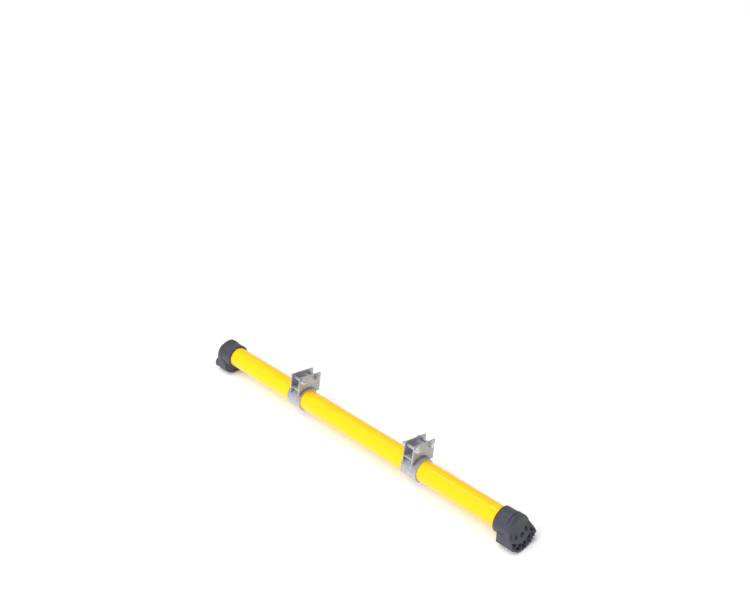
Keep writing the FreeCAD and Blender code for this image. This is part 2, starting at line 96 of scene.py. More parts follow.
class StileEdge(Enum):
    """Which edge of the stile a bolt is near."""

    FRONT = "front"
    REAR = "rear"


# ---------------- small maths
def ease(low: float, high: float, value: float) -> float:
    """A smooth step.

    Args:
        low: where the step starts; it may be above high, for a falling step.
        high: where the step ends.
        value: the place to read.

    Returns:
        0 before the step, 1 after it.
    """
    share = min(1.0, max(0.0, (value - low) / (high - low)))
    return share * share * (3.0 - 2.0 * share)


def follow(table: Sequence[tuple[float, float]], value: float) -> float:
    """Read a table of (place, amount) pairs, with straight lines between them.

    Args:
        table: pairs in rising order of place.
        value: the place to read.

    Returns:
        The amount there, held level past both ends.
    """
    if value <= table[0][0]:
        return table[0][1]
    for (low, start), (high, end) in zip(table, table[1:]):
        if value <= high:
            return start + (end - start) * (value - low) / (high - low)
    return table[-1][1]


def polar(radius: float, swing: float) -> tuple[float, float]:
    """Across and height of a place at an angle in degrees from straight down."""
    angle = math.radians(swing)
    return radius * math.sin(angle), -radius * math.cos(angle)


def zigzag(value: float) -> float:
    """A triangle wave of period 1 that is 0 at whole numbers and 1 between them."""
    return 1.0 - abs((value % 1.0) * 2.0 - 1.0)


# ---------------- mesh making
def stack_rings(rings: Sequence[Ring], closed: tuple[bool, bool] = (True, True)) -> bmesh.types.BMesh:
    """Extrude one loop of points through a list of rings.

    Args:
        rings: loops with the same number of points, in order.
        closed: whether the first and the last loop are filled.

    Returns:
        The mesh, with its faces pointing outwards.
    """
    mesh = bmesh.new()
    bmesh.ops.create_circle(mesh, cap_ends=False, radius=1.0, segments=len(rings[0]))
    mesh.verts.ensure_lookup_table()
    loop = order_loop(mesh)
    place_ring(loop, rings[0])
    first = list(loop)
    for ring in rings[1:]:
        edges = [edge_between(a, b) for a, b in zip(loop, loop[1:] + loop[:1])]
        made = bmesh.ops.extrude_edge_only(mesh, edges=edges)["geom"]
        fresh = {item for item in made if isinstance(item, bmesh.types.BMVert)}
        loop = [next(e.other_vert(v) for e in v.link_edges if e.other_vert(v) in fresh) for v in loop]
        place_ring(loop, ring)
    for wanted, ends in zip(closed, (first, loop)):
        if wanted:
            mesh.faces.new(ends)
    bmesh.ops.recalc_face_normals(mesh, faces=mesh.faces)
    return mesh


def order_loop(mesh: bmesh.types.BMesh) -> list[bmesh.types.BMVert]:
    """The points of a fresh circle, in order round it."""
    start = mesh.verts[0]
    loop = [start]
    edge = start.link_edges[0]
    point = edge.other_vert(start)
    while point is not start:
        loop.append(point)
        edge = next(item for item in point.link_edges if item is not edge)
        point = edge.other_vert(point)
    return loop


def edge_between(a: bmesh.types.BMVert, b: bmesh.types.BMVert) -> bmesh.types.BMEdge:
    """The edge that joins two neighbouring points."""
    return next(edge for edge in a.link_edges if edge.other_vert(a) is b)


def place_ring(loop: Sequence[bmesh.types.BMVert], ring: Ring) -> None:
    """Move a loop's points to a ring's places."""
    for vertex, place in zip(loop, ring):
        vertex.co = Vector(place)


def join(meshes: Sequence[bmesh.types.BMesh]) -> bmesh.types.BMesh:
    """Put several meshes into one.

    Args:
        meshes: the meshes, which are freed.

    Returns:
        One mesh that holds them all.
    """
    whole = bmesh.new()
    for mesh in meshes:
        carrier = bpy.data.meshes.new("carrier")
        mesh.to_mesh(carrier)
        mesh.free()
        whole.from_mesh(carrier)
        bpy.data.meshes.remove(carrier)
    return whole


def turned(mesh: bmesh.types.BMesh, angle: float, shift: Point = (0.0, 0.0, 0.0)) -> bmesh.types.BMesh:
    """Turn a mesh about X, then move it.

    Args:
        mesh: the mesh to change.
        angle: the turn in radians, by the right-hand rule about +X.
        shift: the move that follows.

    Returns:
        The same mesh.
    """
    place = Matrix.Translation(shift) @ Matrix.Rotation(angle, 4, "X")
    bmesh.ops.transform(mesh, matrix=place, verts=mesh.verts)
    return mesh


def stand(name: str, data: bpy.types.ID) -> bpy.types.Object:
    """Put a new object that shows some data into the scene."""
    item = bpy.data.objects.new(name, data)
    bpy.context.scene.collection.objects.link(item)
    return item


def hand_over(
    mesh: bmesh.types.BMesh,
    node: str,
    suffix: str,
    book: "FinishBook",
    slot: str,
    crease: float = 35.0,
) -> bpy.types.Object:
    """Make a piece from a mesh in millimetres and give it to the frame.

    Args:
        mesh: the mesh, which is freed.
        node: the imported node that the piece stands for.
        suffix: what follows the node's name in the piece's name.
        book: the finishes.
        slot: the record's material slot.
        crease: edges that turn by more than this many degrees stay sharp.

    Returns:
        The piece's object.
    """
    name = f"{node}_{suffix}"
    bmesh.ops.scale(mesh, vec=(MM, MM, MM), verts=mesh.verts)
    data = bpy.data.meshes.new(name)
    mesh.to_mesh(data)
    mesh.free()
    data.shade_smooth()
    data.set_sharp_from_angle(angle=math.radians(crease))
    piece = stand(name, data)
    data.materials.append(book.by_slot[slot])
    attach(piece, BODY)
    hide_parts(node)
    log.info("%s: %d faces", name, len(data.polygons))
    return piece


def soften(node: str, width: float) -> bmesh.types.BMesh:
    """Copy a node's mesh and round its sharp edges.

    Args:
        node: the node's name.
        width: the rounding in millimetres.

    Returns:
        A mesh in millimetres.
    """
    mesh = bmesh.new()
    mesh.from_mesh(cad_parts[node].data)
    bmesh.ops.scale(mesh, vec=(1 / MM, 1 / MM, 1 / MM), verts=mesh.verts)
    bmesh.ops.remove_doubles(mesh, verts=mesh.verts, dist=WELD_DISTANCE)
    bmesh.ops.dissolve_limit(
        mesh, angle_limit=FLAT_ANGLE, verts=mesh.verts, edges=mesh.edges, use_dissolve_boundaries=False
    )
    folds = [edge for edge in mesh.edges if len(edge.link_faces) == 2]
    sharp = [edge for edge in folds if edge.calc_face_angle() > SHARP_ANGLE]
    bmesh.ops.bevel(
        mesh, geom=sharp, offset=width, offset_type="OFFSET", affect="EDGES",
        segments=ROUNDING_FACES, profile=0.5, material=-1, clamp_overlap=True,
    )
    bmesh.ops.recalc_face_normals(mesh, faces=mesh.faces)
    return mesh


# ---------------- shared shader groups
class Graph:
    """A thin hand for wiring one node tree."""

    def __init__(self, tree: bpy.types.NodeTree) -> None:
        """Keep the tree to work on."""
        self.tree = tree

    def add(self, kind: str, settings: dict | None = None, **inputs: object) -> bpy.types.Node:
        """Add a node.

        Args:
            kind: the node's type name.
            settings: attributes of the node.
            **inputs: input sockets by name with underscores for spaces; a socket is linked.

        Returns:
            The node.
        """
        node = self.tree.nodes.new(kind)
        for key, value in (settings or {}).items():
            setattr(node, key, value)
        for key, value in inputs.items():
            self.feed(node.inputs[key.replace("_", " ")], value)
        return node

    def feed(self, socket: bpy.types.NodeSocket, value: object) -> None:
        """Link a socket to another, or set its value."""
        if isinstance(value, bpy.types.NodeSocket):
            self.tree.links.new(value, socket)
        else:
            socket.default_value = value

    def math(self, kind: str, a: object, b: object = 0.0, clamp: bool = False) -> bpy.types.NodeSocket:
        """A Math node's result."""
        node = self.add("ShaderNodeMath", {"operation": kind, "use_clamp": clamp})
        self.feed(node.inputs[0], a)
        self.feed(node.inputs[1], b)
        return node.outputs[0]

    def times(self, a: object, b: object, clamp: bool = False) -> bpy.types.NodeSocket:
        """The product of two values."""
        return self.math("MULTIPLY", a, b, clamp)

    def plus(self, a: object, b: object) -> bpy.types.NodeSocket:
        """The sum of two values."""
        return self.math("ADD", a, b)

    def band(
        self, value: object, low: float, high: float, start: float = 0.0, end: float = 1.0
    ) -> bpy.types.NodeSocket:
        """Map a range of values smoothly onto another."""
        node = self.add("ShaderNodeMapRange", {"interpolation_type": "SMOOTHSTEP"}, Value=value)
        for key, number in {"From Min": low, "From Max": high, "To Min": start, "To Max": end}.items():
            node.inputs[key].default_value = number
        return node.outputs[0]

    def blend(self, share: object, a: object, b: object) -> bpy.types.NodeSocket:
        """Mix two colours."""
        node = self.add("ShaderNodeMix", {"data_type": "RGBA"})
        self.feed(node.inputs["Factor"], share)
        self.feed(node.inputs[6], a)
        self.feed(node.inputs[7], b)
        return node.outputs[2]

    def noise(
        self, vector: object, scale: float, detail: float = 3.0, rough: float = 0.55
    ) -> bpy.types.NodeSocket:
        """A noise value at a scale given per metre."""
        node = self.add("ShaderNodeTexNoise", Vector=vector, Scale=scale, Detail=detail, Roughness=rough)
        return node.outputs["Fac"]

    def scaled(self, vector: object, factor: object) -> bpy.types.NodeSocket:
        """A vector times one factor."""
        node = self.add("ShaderNodeVectorMath", {"operation": "SCALE"}, Vector=vector, Scale=factor)
        return node.outputs["Vector"]

    def stretch(self, vector: object, along: Point) -> bpy.types.NodeSocket:
        """Scale a vector by three factors."""
        node = self.add("ShaderNodeMapping", Vector=vector)
        node.inputs["Scale"].default_value = along
        return node.outputs["Vector"]


def shader_group(
    name: str, setting: str, outputs: Sequence[str], wire: Callable[[Graph, dict], dict]
) -> bpy.types.NodeTree:
    """Build a shader node group.

    Args:
        name: the group's name.
        setting: the number it takes beside its vector.
        outputs: the numbers it gives.
        wire: takes the graph and the input sockets, and returns the output sockets.

    Returns:
        The group.
    """
    tree = bpy.data.node_groups.new(name, "ShaderNodeTree")
    inputs = {"Vector": "NodeSocketVector", setting: "NodeSocketFloat"}
    for label, kind in inputs.items():
        tree.interface.new_socket(name=label, in_out="INPUT", socket_type=kind)
    for label in outputs:
        tree.interface.new_socket(name=label, in_out="OUTPUT", socket_type="NodeSocketFloat")
    graph = Graph(tree)
    start = graph.add("NodeGroupInput")
    made = wire(graph, {label: start.outputs[label] for label in inputs})
    finish = graph.add("NodeGroupOutput")
    for label, socket in made.items():
        graph.feed(finish.inputs[label], socket)
    return tree


def wire_scuffs(graph: Graph, given: dict) -> dict:
    """Fine scratches that run mostly one way, and rubbed patches."""
    thin = graph.noise(graph.stretch(given["Vector"], (40.0, 900.0, 900.0)), 1.0, 2.0, 0.5)
    crossed = graph.noise(graph.stretch(given["Vector"], (700.0, 90.0, 500.0)), 1.0, 2.0, 0.5)
    patch = graph.band(graph.noise(given["Vector"], 22.0, 3.0), 0.48, 0.68)
    lines = graph.math("MAXIMUM", graph.band(thin, 0.66, 0.74), graph.band(crossed, 0.69, 0.76))
    mask = graph.times(graph.times(lines, patch), given["Amount"], clamp=True)
    return {"Mask": mask, "Patch": graph.times(patch, given["Amount"], clamp=True)}


def wire_grain(graph: Graph, given: dict) -> dict:
    """Even fine grain, with a slow change of tone under it."""
    fine = graph.noise(graph.scaled(given["Vector"], given["Scale"]), 1.0, 4.0, 0.6)
    slow = graph.noise(given["Vector"], 30.0, 3.0)
    return {"Fine": fine, "Slow": slow}


def wire_spangle(graph: Graph, given: dict) -> dict:
    """Zinc crystals: cells of slightly different tone with a fine feathering."""
    bent = graph.add("ShaderNodeTexNoise", Vector=given["Vector"], Scale=320.0, Detail=3.0)
    push = graph.scaled(bent.outputs["Color"], 0.004)
    moved = graph.add("ShaderNodeVectorMath", {"operation": "ADD"})
    graph.feed(moved.inputs[0], given["Vector"])
    graph.feed(moved.inputs[1], push)
    cells = graph.add("ShaderNodeTexVoronoi", Vector=moved.outputs["Vector"], Scale=given["Scale"])
    tone = graph.add("ShaderNodeSeparateColor", Color=cells.outputs["Color"]).outputs[0]
    feather = graph.noise(given["Vector"], 900.0, 3.0)
    mixed = graph.plus(graph.times(tone, 0.75), graph.times(feather, 0.25))
    return {"Tone": mixed, "Feather": feather}


class Effects:
    """The shader groups that several finishes share."""

    def __init__(self) -> None:
        """Build each group once."""
        self.scuffs = shader_group("scuffs", "Amount", ("Mask", "Patch"), wire_scuffs)
        self.grain = shader_group("grain", "Scale", ("Fine", "Slow"), wire_grain)
        self.spangle = shader_group("zinc_spangle", "Scale", ("Tone", "Feather"), wire_spangle)


# ---------------- finishes
class Finish(Graph):
    """A material with a Principled shader, Object coordinates and the shared groups."""

    def __init__(self, name: str) -> None:
        """Make the bare material.

        Args:
            name: the material's name.
        """
        self.material = bpy.data.materials.new(name)
        self.material.use_nodes = True
        super().__init__(self.material.node_tree)
        self.shader = self.tree.nodes["Principled BSDF"]
        self.place = self.add("ShaderNodeTexCoord").outputs["Object"]

    def group(self, tree: bpy.types.NodeTree, **inputs: float) -> bpy.types.NodeOutputs:
        """Place a shared group with its own values, and give its outputs."""
        node = self.add("ShaderNodeGroup", {"node_tree": tree})
        self.feed(node.inputs["Vector"], self.place)
        for key, value in inputs.items():
            node.inputs[key].default_value = value
        return node.outputs

    def relief(self, height: object, distance: float, strength: float) -> None:
        """Drive the normal from a height in metres of relief."""
        bump = self.add("ShaderNodeBump", Height=height, Distance=distance, Strength=strength)
        self.feed(self.shader.inputs["Normal"], bump.outputs["Normal"])

    def set(self, **values: object) -> None:
        """Set or link the shader's own sockets, by name with underscores for spaces."""
        for key, value in values.items():
            self.feed(self.shader.inputs[key.replace("_", " ")], value)


@dataclass(frozen=True)
class YellowTube:
    """Pultruded glass-fibre tube: glossy, yellow right through, faint lengthwise fibres."""

    colour: tuple = (0.920, 0.535, 0.001, 1.0)
    deep: tuple = (0.905, 0.495, 0.001, 1.0)
    worn: tuple = (0.950, 0.680, 0.050, 1.0)

    def wire(self, paint: Finish, effects: Effects) -> None:
        """Wire the finish into its material."""
        streak = paint.noise(paint.stretch(paint.place, (5.0, 260.0, 260.0)), 1.0, 4.0, 0.6)
        grain = paint.group(effects.grain, Scale=700.0)
        tone = paint.blend(paint.band(streak, 0.40, 0.70, 0.0, 0.55), self.colour, self.deep)
        scuffs = paint.group(effects.scuffs, Amount=0.6)
        tone = paint.blend(paint.times(scuffs["Mask"], 0.6), tone, self.worn)
        worn_rough = paint.band(streak, 0.35, 0.7, 0.20, 0.30)
        rough = paint.plus(worn_rough, paint.times(scuffs["Patch"], 0.10))
        paint.set(Base_Color=tone, Roughness=rough, Specular_IOR_Level=0.30)
        paint.set(Coat_Weight=0.10, Coat_Roughness=0.10)
        height = paint.plus(streak, paint.times(grain["Fine"], 0.25))
        paint.relief(height, 0.00005, 0.5)


@dataclass(frozen=True)
class BootRubber:
    """Moulded charcoal rubber: matt, slightly blue, paler where it has rubbed."""

    colour: tuple = (0.043, 0.047, 0.063, 1.0)
    pale: tuple = (0.070, 0.074, 0.091, 1.0)
    dust: tuple = (0.190, 0.185, 0.175, 1.0)

    def wire(self, paint: Finish, effects: Effects) -> None:
        """Wire the finish into its material."""
        grain = paint.group(effects.grain, Scale=1900.0)
        scuffs = paint.group(effects.scuffs, Amount=1.0)
        tone = paint.blend(paint.band(grain["Slow"], 0.42, 0.70, 0.0, 0.55), self.colour, self.pale)
        speck = paint.band(paint.noise(paint.place, 420.0, 2.0), 0.68, 0.75, 0.0, 0.22)
        tone = paint.blend(speck, tone, self.dust)
        tone = paint.blend(paint.times(scuffs["Mask"], 0.5), tone, self.dust)
        rough = paint.band(grain["Slow"], 0.35, 0.70, 0.44, 0.58)
        paint.set(Base_Color=tone, Roughness=rough, Specular_IOR_Level=0.45)
        height = paint.plus(grain["Fine"], paint.times(scuffs["Mask"], -0.8))
        paint.relief(height, 0.00016, 0.7)


@dataclass(frozen=True)
class GalvanisedSteel:
    """Hot-dip zinc: dull grey with soft crystals and small runs."""

    light: tuple = (0.530, 0.535, 0.570, 1.0)
    dark: tuple = (0.445, 0.452, 0.485, 1.0)
    bloom: tuple = (0.60, 0.595, 0.605, 1.0)
    scratch: tuple = (0.82, 0.82, 0.83, 1.0)

    def wire(self, paint: Finish, effects: Effects) -> None:
        """Wire the finish into its material."""
        spangle = paint.group(effects.spangle, Scale=360.0)
        scuffs = paint.group(effects.scuffs, Amount=0.9)
        tone = paint.blend(paint.band(spangle["Tone"], 0.15, 0.85), self.dark, self.light)
        bloom = paint.band(paint.noise(paint.place, 75.0, 5.0, 0.65), 0.50, 0.66, 0.0, 0.5)
        tone = paint.blend(bloom, tone, self.bloom)
        tone = paint.blend(paint.times(scuffs["Mask"], 0.7), tone, self.scratch)
        rough = paint.band(spangle["Tone"], 0.2, 0.8, 0.62, 0.46)
        metallic = paint.math("SUBTRACT", 0.78, paint.times(bloom, 0.6))
        paint.set(Base_Color=tone, Roughness=rough, Metallic=metallic)
        lumps = paint.noise(paint.place, 240.0, 3.0)
        height = paint.plus(lumps, paint.times(spangle["Feather"], 0.15))
        paint.relief(height, 0.00014, 0.5)


@dataclass(frozen=True)
class WeldZincPaintedShade:
    """A weld bead under zinc: smoother than the plate, with bright glints; its dark tone is painted shade
    that stands in for the shadow line round the sleeve.
    """

    # both weld colours are set low as painted shade: the bead stands in for the shadow line along the arch
    dark: tuple = (0.15, 0.15, 0.16, 1.0)
    light: tuple = (0.42, 0.41, 0.42, 1.0)

    def wire(self, paint: Finish, effects: Effects) -> None:
        """Wire the finish into its material."""
        spangle = paint.group(effects.spangle, Scale=420.0)
        grain = paint.group(effects.grain, Scale=600.0)
        crystals = paint.times(spangle["Tone"], 0.5)
        mixed = paint.plus(crystals, paint.times(grain["Fine"], 0.5))
        # tone between the painted-shade dark and light weld colours
        tone = paint.blend(paint.band(mixed, 0.3, 0.7), self.dark, self.light)
        paint.set(Base_Color=tone, Roughness=paint.band(mixed, 0.3, 0.7, 0.40, 0.24), Metallic=0.95)
        paint.relief(grain["Fine"], 0.0004, 0.6)


@dataclass(frozen=True)
class PlatedSteel:
    """Bright zinc plate on bolts and nuts, with a faint turned grain."""

    light: tuple = (0.66, 0.67, 0.70, 1.0)
    dull: tuple = (0.45, 0.46, 0.49, 1.0)

    def wire(self, paint: Finish, effects: Effects) -> None:
        """Wire the finish into its material."""
        grain = paint.group(effects.grain, Scale=1400.0)
        scuffs = paint.group(effects.scuffs, Amount=1.0)
        share = paint.band(paint.noise(paint.place, 340.0, 4.0), 0.45, 0.70, 0.0, 0.8)
        tone = paint.blend(share, self.light, self.dull)
        turned_rough = paint.band(grain["Fine"], 0.35, 0.65, 0.26, 0.38)
        rough = paint.plus(turned_rough, paint.times(scuffs["Mask"], 0.2))
        paint.set(Base_Color=tone, Roughness=rough, Metallic=1.0)
        paint.relief(grain["Fine"], 0.00006, 0.5)


@dataclass(frozen=True)
class InsertNylon:
    """The locking nut's ring: natural nylon, slightly waxy."""

    colour: tuple = (0.78, 0.77, 0.70, 1.0)
    stain: tuple = (0.60, 0.58, 0.50, 1.0)

    def wire(self, paint: Finish, effects: Effects) -> None:
        """Wire the finish into its material."""
        grain = paint.group(effects.grain, Scale=2200.0)
        tone = paint.blend(paint.band(grain["Slow"], 0.45, 0.65, 0.0, 0.5), self.colour, self.stain)
        paint.set(Base_Color=tone, Roughness=paint.band(grain["Fine"], 0.3, 0.7, 0.32, 0.45))
        paint.set(Subsurface_Weight=0.15, Subsurface_Scale=0.0015)
        paint.relief(grain["Fine"], 0.00005, 0.4)


class FinishBook:
    """Every finish by the record's slot name."""

    recipes = {
        "yellow_tube": YellowTube(),
        "boot_rubber": BootRubber(),
        "galvanised_steel": GalvanisedSteel(),
        "weld_zinc": WeldZincPaintedShade(),
        "plated_steel": PlatedSteel(),
        "insert_nylon": InsertNylon(),
    }

    def __init__(self) -> None:
        """Build the shared effects and the finishes."""
        effects = Effects()
        self.by_slot: dict[str, bpy.types.Material] = {}
        for slot, recipe in self.recipes.items():
            paint = Finish(slot)
            recipe.wire(paint, effects)
            self.by_slot[slot] = paint.material

    def dress_node(self, node: str, slot: str) -> None:
        """Give a node of the frame its finish."""
        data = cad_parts[node].data
        data.materials.clear()
        data.materials.append(self.by_slot[slot])


# ---------------- the rubber boot
@dataclass
class Boot:
    """Rubber boot on one end of the bar.

    It is worked out in its own frame: u runs outwards along the bar from the rim that
    faces the ladder, and "swing" is the angle about the bar from straight down, in
    degrees, positive towards the rear.
    """

    side: Side
    rim_place: float = 482.0
    turn: float = math.radians(5.0)
    bore_radius: float = 27.62
    bore_depth: float = 6.0
    collar_radius: float = 33.1
    crown_radius: float = 34.7
    crown_start: float = 28.0
    crown_sweep: float = 8.0
    flank_foot: tuple[float, float] = (40.5, 32.7)
    sole_radius: float = 52.0
    corner_swing: float = 51.1
    shoulder_swing: float = 104.0
    corner_soften: float = 1.6
    block_start: float = 12.5
    block_slant: tuple[float, float] = (0.04, 0.25)
    block_turn: tuple[float, float] = (-12.0, 24.0)
    block_soften: float = 0.7
    ledge_soften: float = 1.1
    block_foot: float = 45.0
    lip_reach: float = 66.3
    lip_short: float = 6.4
    lip_rise: tuple[float, float] = (33.5, 44.0)
    lip_fade: tuple[float, float] = (90.0, 50.0)
    lip_turn: tuple[float, float] = (30.0, 54.0)
    crease_place: float = 37.6
    crease_depth: float = 2.4
    crease_width: tuple[float, float] = (1.9, 0.5)
    crease_rise: tuple[float, float] = (22.0, 29.0)
    tooth_step: float = 9.0
    tooth_gap: float = 2.5
    tooth_depth: float = 5.4
    tooth_wander: float = 2.4
    wander_length: float = 22.0
    margin: float = 2.6
    edge_drop: float = 0.36
    edge_back: float = 0.3
    cell_inner: float = 34.5
    cell_outer: float = 46.2
    cell_margin: float = 4.5
    cell_end: float = 64.0
    cell_swing: float = 25.0
    cell_phase: float = 0.35
    cell_depth: float = 9.0
    cell_rib: float = 0.75
    face_bulge: float = 3.2
    face_table: tuple = (
        (-52.0, 60.0), (-34.0, 60.0), (0.0, 51.0), (10.0, 49.0), (25.0, 48.0), (30.0, 47.0), (35.0, 44.5),
    )
    ledge_table: tuple = (
        (12.0, -4.5), (22.0, -5.5), (33.0, -4.5), (37.0, 1.0), (41.0, 8.0), (48.0, 18.0), (52.0, 26.0),
    )
    hollows: tuple = (
        (-16.6, -11.5, 4.4, 4.6, 8.0), (2.5, -15.5, 9.0, 5.6, 10.0), (18.6, -11.5, 5.2, 7.6, 10.0),
        (-15.5, -3.5, 3.4, 4.6, 1.6), (-27.0, 1.0, 2.8, 3.4, 1.8), (-30.5, -5.0, 2.6, 3.0, 1.8),
    )
    columns: tuple[int, int, int] = (88, 46, 28)

    def outline(self, swing: float) -> float:
        """The block's radius at an angle: sole, flank or crown."""
        turn = math.radians(abs(swing))
        if abs(swing) >= 90.0:
            return self.crown_radius
        half, drop = self.flank_foot
        flare = (half - self.crown_radius) / drop
        flank = self.crown_radius / max(0.05, math.sin(turn) - flare * math.cos(turn))
        gap = flank - self.sole_radius
        nearer = min(flank, self.sole_radius)
        return nearer - self.corner_soften * math.exp(-abs(gap) / self.corner_soften) * 0.5

    def swings(self) -> list[float]:
        """The angles of the columns of points, once round from straight down."""
        corner, shoulder = self.corner_swing, self.shoulder_swing
        limits = (0.0, corner, shoulder, 180.0)
        half: list[float] = []
        for start, end, count in zip(limits, limits[1:], self.columns):
            half += [start + (end - start) * index / count for index in range(count)]
        return half + [180.0] + [-swing for swing in reversed(half[1:])]

    def face_reach(self, swing: float, radius: float) -> float:
        """How far out the smooth end face stands at a place, without the tread's lip."""
        height = polar(radius, swing)[1]
        share = min(1.0, radius / self.outline(swing))
        return follow(self.face_table, height) + self.face_bulge * (1.0 - share * share)

    def end_reach(self, swing: float, radius: float) -> float:
        """How far out the end stands at a place, with lip, cells and hollows."""
        reach = self.face_reach(swing, radius)
        low, high = self.lip_rise
        high = min(high, self.outline(swing) - 0.6)
        inside = min(1.0, max(0.0, (radius - low) / max(1.0, high - low))) * ease(*self.lip_fade, abs(swing))
        lip = self.lip_reach - self.lip_short * ease(*self.lip_turn, -swing * self.side.value)
        reach += (lip - reach) * inside
        reach -= self.cell_depth * self.cell_share(swing, radius)
        across, height = polar(radius, swing)
        for middle, level, wide, tall, depth in self.hollows:
            spread = ((across - middle) / wide) ** 2 + ((height - level) / tall) ** 2
            reach -= depth * ease(1.0, 0.35, math.sqrt(spread))
        return reach

    def cell_share(self, swing: float, radius: float) -> float:
        """1 inside a tread cell on the end, 0 on the ribs and margins."""
        outer = min(self.cell_outer, self.outline(swing) - self.cell_margin)
        span = (radius - self.cell_inner) / max(1.0, outer - self.cell_inner)
        if not 0.0 < span < 1.0 or abs(swing) > self.cell_end:
            return 0.0
        run = radius * math.radians(self.cell_swing) / 2.0
        slope = math.hypot(1.0, run / (outer - self.cell_inner))
        away = abs(span - zigzag(swing / self.cell_swing + self.cell_phase)) * run / slope
        walls = ease(self.cell_rib, self.cell_rib + 0.9, away)
        height = (outer - self.cell_inner) * min(span, 1.0 - span)
        return walls * ease(0.0, 0.9, height) * ease(self.cell_end, self.cell_end - 2.5, abs(swing))

    def tooth_cut(self, swing: float, reach: float) -> float:
        """How deep a groove of the sole is at a place."""
        if abs(swing) > self.corner_swing - 2.0:
            return 0.0
        along = math.radians(swing) * self.sole_radius
        wander = self.tooth_wander * zigzag((self.lip_reach - reach) / self.wander_length)
        away = abs(((along - wander) / self.tooth_step) % 1.0 - 0.5) * self.tooth_step
        start = self.block_edge(along, polar(self.sole_radius, swing)[1]) + self.margin
        open_end = ease(start, start + 1.2, reach)
        return self.tooth_depth * ease(self.tooth_gap, self.tooth_gap - 1.7, away) * open_end

    def wall_radius(self, swing: float, reach: float) -> float:
        """The outside radius at a place between the rim and the end's edge."""
        whole = self.outline(swing)
        across, height = polar(whole, swing)
        level = follow(self.ledge_table, reach)
        edge = self.block_edge(across, height)
        block = ease(edge - self.block_soften, edge + self.block_soften, reach)
        block *= ease(level + self.ledge_soften, level - self.ledge_soften, height)
        start = self.crown_start + self.crown_sweep * (abs(across) / self.crown_radius) ** 3
        raised = ease(start - 0.6, start + 0.6, reach) * ease(-2.0, 2.0, height)
        radius = self.collar_radius + (whole - self.collar_radius) * max(block, raised)
        across_crease = ease(*self.crease_width, abs(reach - self.crease_place))
        radius -= self.crease_depth * across_crease * ease(*self.crease_rise, height)
        return radius - self.tooth_cut(swing, reach)

    def block_edge(self, across: float, height: float) -> float:
        """Where the block begins; its wall slants outwards, most on the long side."""
        short, long = self.block_slant
        slant = short + (long - short) * ease(*self.block_turn, across * self.side.value)
        return self.block_start + slant * max(0.0, height + self.block_foot)

    def stations(self, swing: float) -> list[float]:
        """Places along the wall from the rim to just short of the end's edge."""
        low = [0.35, 1.0, 3.0, 5.5, 8.0, 10.2]
        middle = [11.0 + index * 0.72 for index in range(41)]
        last, edge = middle[-1], self.end_reach(swing, self.outline(swing)) - 0.9
        spaced = [last + (edge - last) * (index + 1) / 20 for index in range(20)]
        return low + middle + spaced

    def spot(self, swing: float, reach: float, radius: float) -> Point:
        """A place on the shared axes, still without the boot's turn."""
        return (self.side.value * (self.rim_place + reach), *polar(radius, swing))

    def wall_rings(self, swings: Sequence[float]) -> list[Ring]:
        """Loops from inside the bore, round the rim and out to the end's edge."""
        lead = ((self.bore_depth, self.bore_radius), (0.5, self.bore_radius), (0.1, self.bore_radius + 0.4),
                (0.0, self.bore_radius + 1.0), (0.0, self.collar_radius - 1.1),
                (0.08, self.collar_radius - 0.5))
        rings: list[Ring] = [[self.spot(swing, reach, radius) for swing in swings] for reach, radius in lead]
        places = [self.stations(swing) for swing in swings]
        for index in range(len(places[0])):
            ring = []
            for swing, column in zip(swings, places):
                radius = self.wall_radius(swing, column[index])
                if index == 0:
                    radius -= 0.2
                ring.append(self.spot(swing, column[index], radius))
            rings.append(ring)
        return rings

    def end_rings(self, swings: Sequence[float]) -> list[Ring]:
        """Loops from the end's edge in to its middle."""
        shares = [1.0 - 0.0115 * index for index in range(32)]
        shares += [shares[-1] * (1.0 - (index + 1) / 22) for index in range(21)]
        rings: list[Ring] = []
        for index, share in enumerate(shares):
            ring = []
            for swing in swings:
                whole = self.outline(swing)
                reach = self.end_reach(swing, whole * share)
                open_radius = whole - self.tooth_cut(swing, reach)
                radius = min(whole * share, open_radius)
                if index == 0:
                    radius -= self.edge_drop
                    reach -= self.edge_back
                ring.append(self.spot(swing, reach, radius))
            rings.append(ring)
        return rings

    def build(self, book: FinishBook) -> bpy.types.Object:
        """Make the boot.

        Args:
            book: the finishes.

        Returns:
            The boot's object.
        """
        swings = self.swings()
        rings = self.wall_rings(swings) + self.end_rings(swings)
        mesh = stack_rings(rings, closed=(False, False))
        mesh.verts.ensure_lookup_table()
        middle = mesh.verts[-len(swings):]
        centre = Vector(self.spot(0.0, self.end_reach(0.0, 0.0), 0.0))
        bmesh.ops.pointmerge(mesh, verts=middle, merge_co=centre)
        bmesh.ops.recalc_face_normals(mesh, faces=mesh.faces)
        turned(mesh, self.turn)
        return hand_over(mesh, f"{self.side.word}_boot", "moulding", book, "boot_rubber", crease=60.0)


